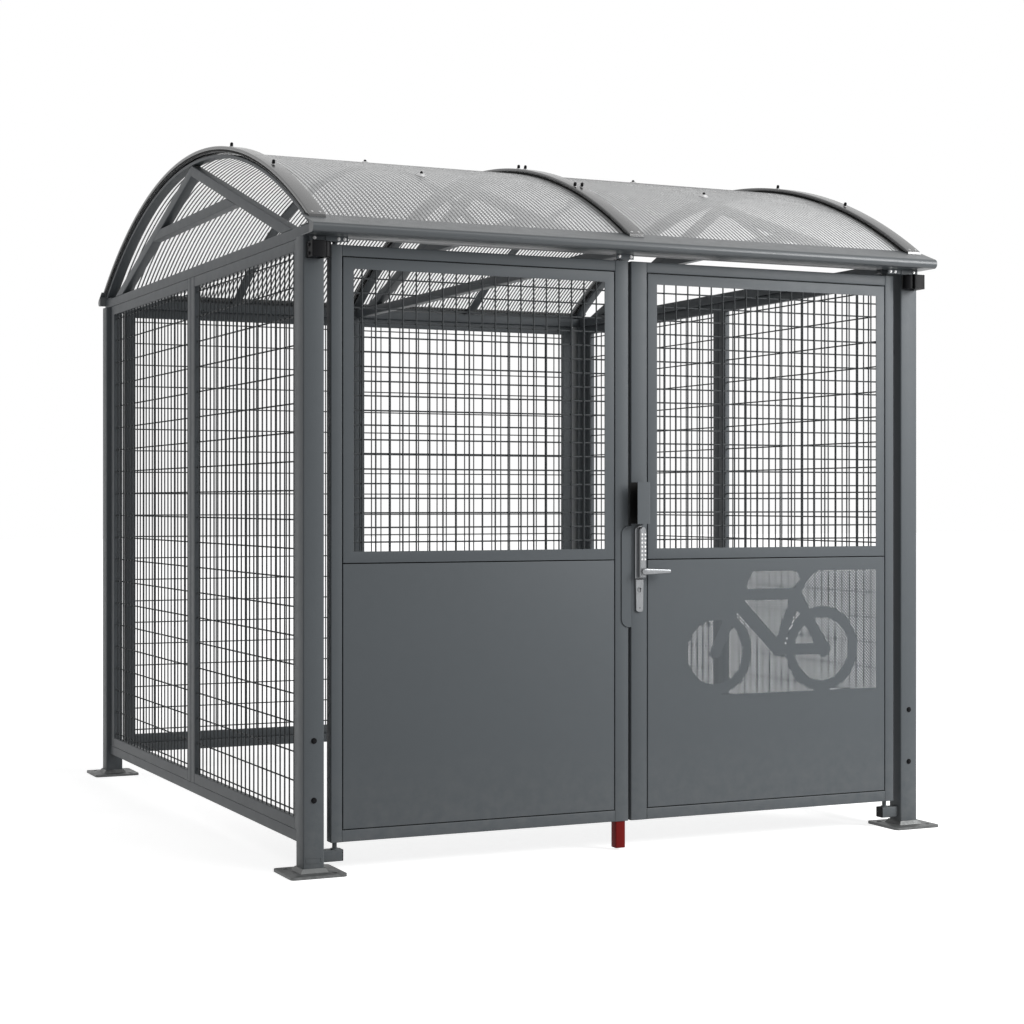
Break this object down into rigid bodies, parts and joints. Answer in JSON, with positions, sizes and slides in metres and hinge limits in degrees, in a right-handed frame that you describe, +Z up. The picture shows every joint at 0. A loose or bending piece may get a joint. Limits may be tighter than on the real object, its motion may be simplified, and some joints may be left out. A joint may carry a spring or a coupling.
{
  "type": "bike shelter",
  "caption": "Bike shelter with square posts on base plates, welded mesh walls, hinged front doors with a code lock and an arched roof of ribbed sheets.",
  "frame": {"origin": "centre of the shelter's footprint on the ground", "axes": "+Z up, doors toward -Y, left post seen from the front toward -X"},
  "size_m": [2.64, 2.9995, 2.6506],
  "materials": {
    "anthracite_paint": "satin powder coat",
    "wire_paint": "satin powder coat",
    "cover_paint": "satin powder coat",
    "galvanised_steel": "hot-dip galvanised, matt",
    "ribbed_sheet": "ribbed, translucent",
    "black_paint": "satin",
    "satin_steel": "satin",
    "red_paint": "gloss"
  },
  "bodies": {
    "shelter": {"post_front_left": "anthracite_paint", "post_front_right": "anthracite_paint", "post_back_left": "anthracite_paint", "post_back_right": "anthracite_paint", "base_plates": "galvanised_steel", "lower_rails": "anthracite_paint", "eave_beams": "anthracite_paint", "truss_left": "anthracite_paint", "truss_middle": "anthracite_paint", "truss_right": "anthracite_paint", "arch_bars": "anthracite_paint", "roof_sheet_left": "ribbed_sheet", "roof_sheet_right": "ribbed_sheet", "arch_covers": "cover_paint", "gutter_front": "anthracite_paint", "gutter_back": "anthracite_paint", "frame_left": "anthracite_paint", "frame_right": "anthracite_paint", "frame_back": "anthracite_paint", "mesh_left_front_low": "wire_paint", "mesh_left_front_high": "wire_paint", "mesh_left_back_low": "wire_paint", "mesh_left_back_high": "wire_paint", "mesh_right_front_low": "wire_paint", "mesh_right_front_high": "wire_paint", "mesh_right_back_low": "wire_paint", "mesh_right_back_high": "wire_paint", "mesh_back_left_low": "wire_paint", "mesh_back_left_high": "wire_paint", "mesh_back_right_low": "wire_paint", "mesh_back_right_high": "wire_paint", "head_blocks": "black_paint", "pivot_brackets": "anthracite_paint"},
    "door_left": {"door_left_frame": "anthracite_paint", "door_left_sheets": "anthracite_paint", "door_left_mesh": "wire_paint", "guard_plate": "anthracite_paint"},
    "door_right": {"door_right_frame": "anthracite_paint", "door_right_sheets": "anthracite_paint", "door_right_mesh": "wire_paint", "pull": "anthracite_paint", "lock_case": "satin_steel"},
    "lever": {"lever_handle": "satin_steel"},
    "drop_bolt": {"drop_bolt": "red_paint"}
  },
  "joints": [
    {"name": "door_left_swing", "type": "hinge", "parent": "shelter", "child": "door_left", "pos_m": [-1.135, -1.34975, 0], "axis": [0, 0, -1], "range_deg": [0, 90]},
    {"name": "door_right_swing", "type": "hinge", "parent": "shelter", "child": "door_right", "pos_m": [1.1255, -1.34975, 0], "axis": [0, 0, 1], "range_deg": [0, 90]},
    {"name": "lever_turn", "type": "hinge", "parent": "door_right", "child": "lever", "pos_m": [0.03125, -1.42075, 1.008], "axis": [0, 1, 0], "range_deg": [0, 45], "stiffness_Nm_per_rad": 1.2, "springref_deg": -22.92},
    {"name": "drop_bolt_lift", "type": "slide", "parent": "door_left", "child": "drop_bolt", "axis": [0, 0, 1], "range_m": [0, 0.09]}
  ]
}
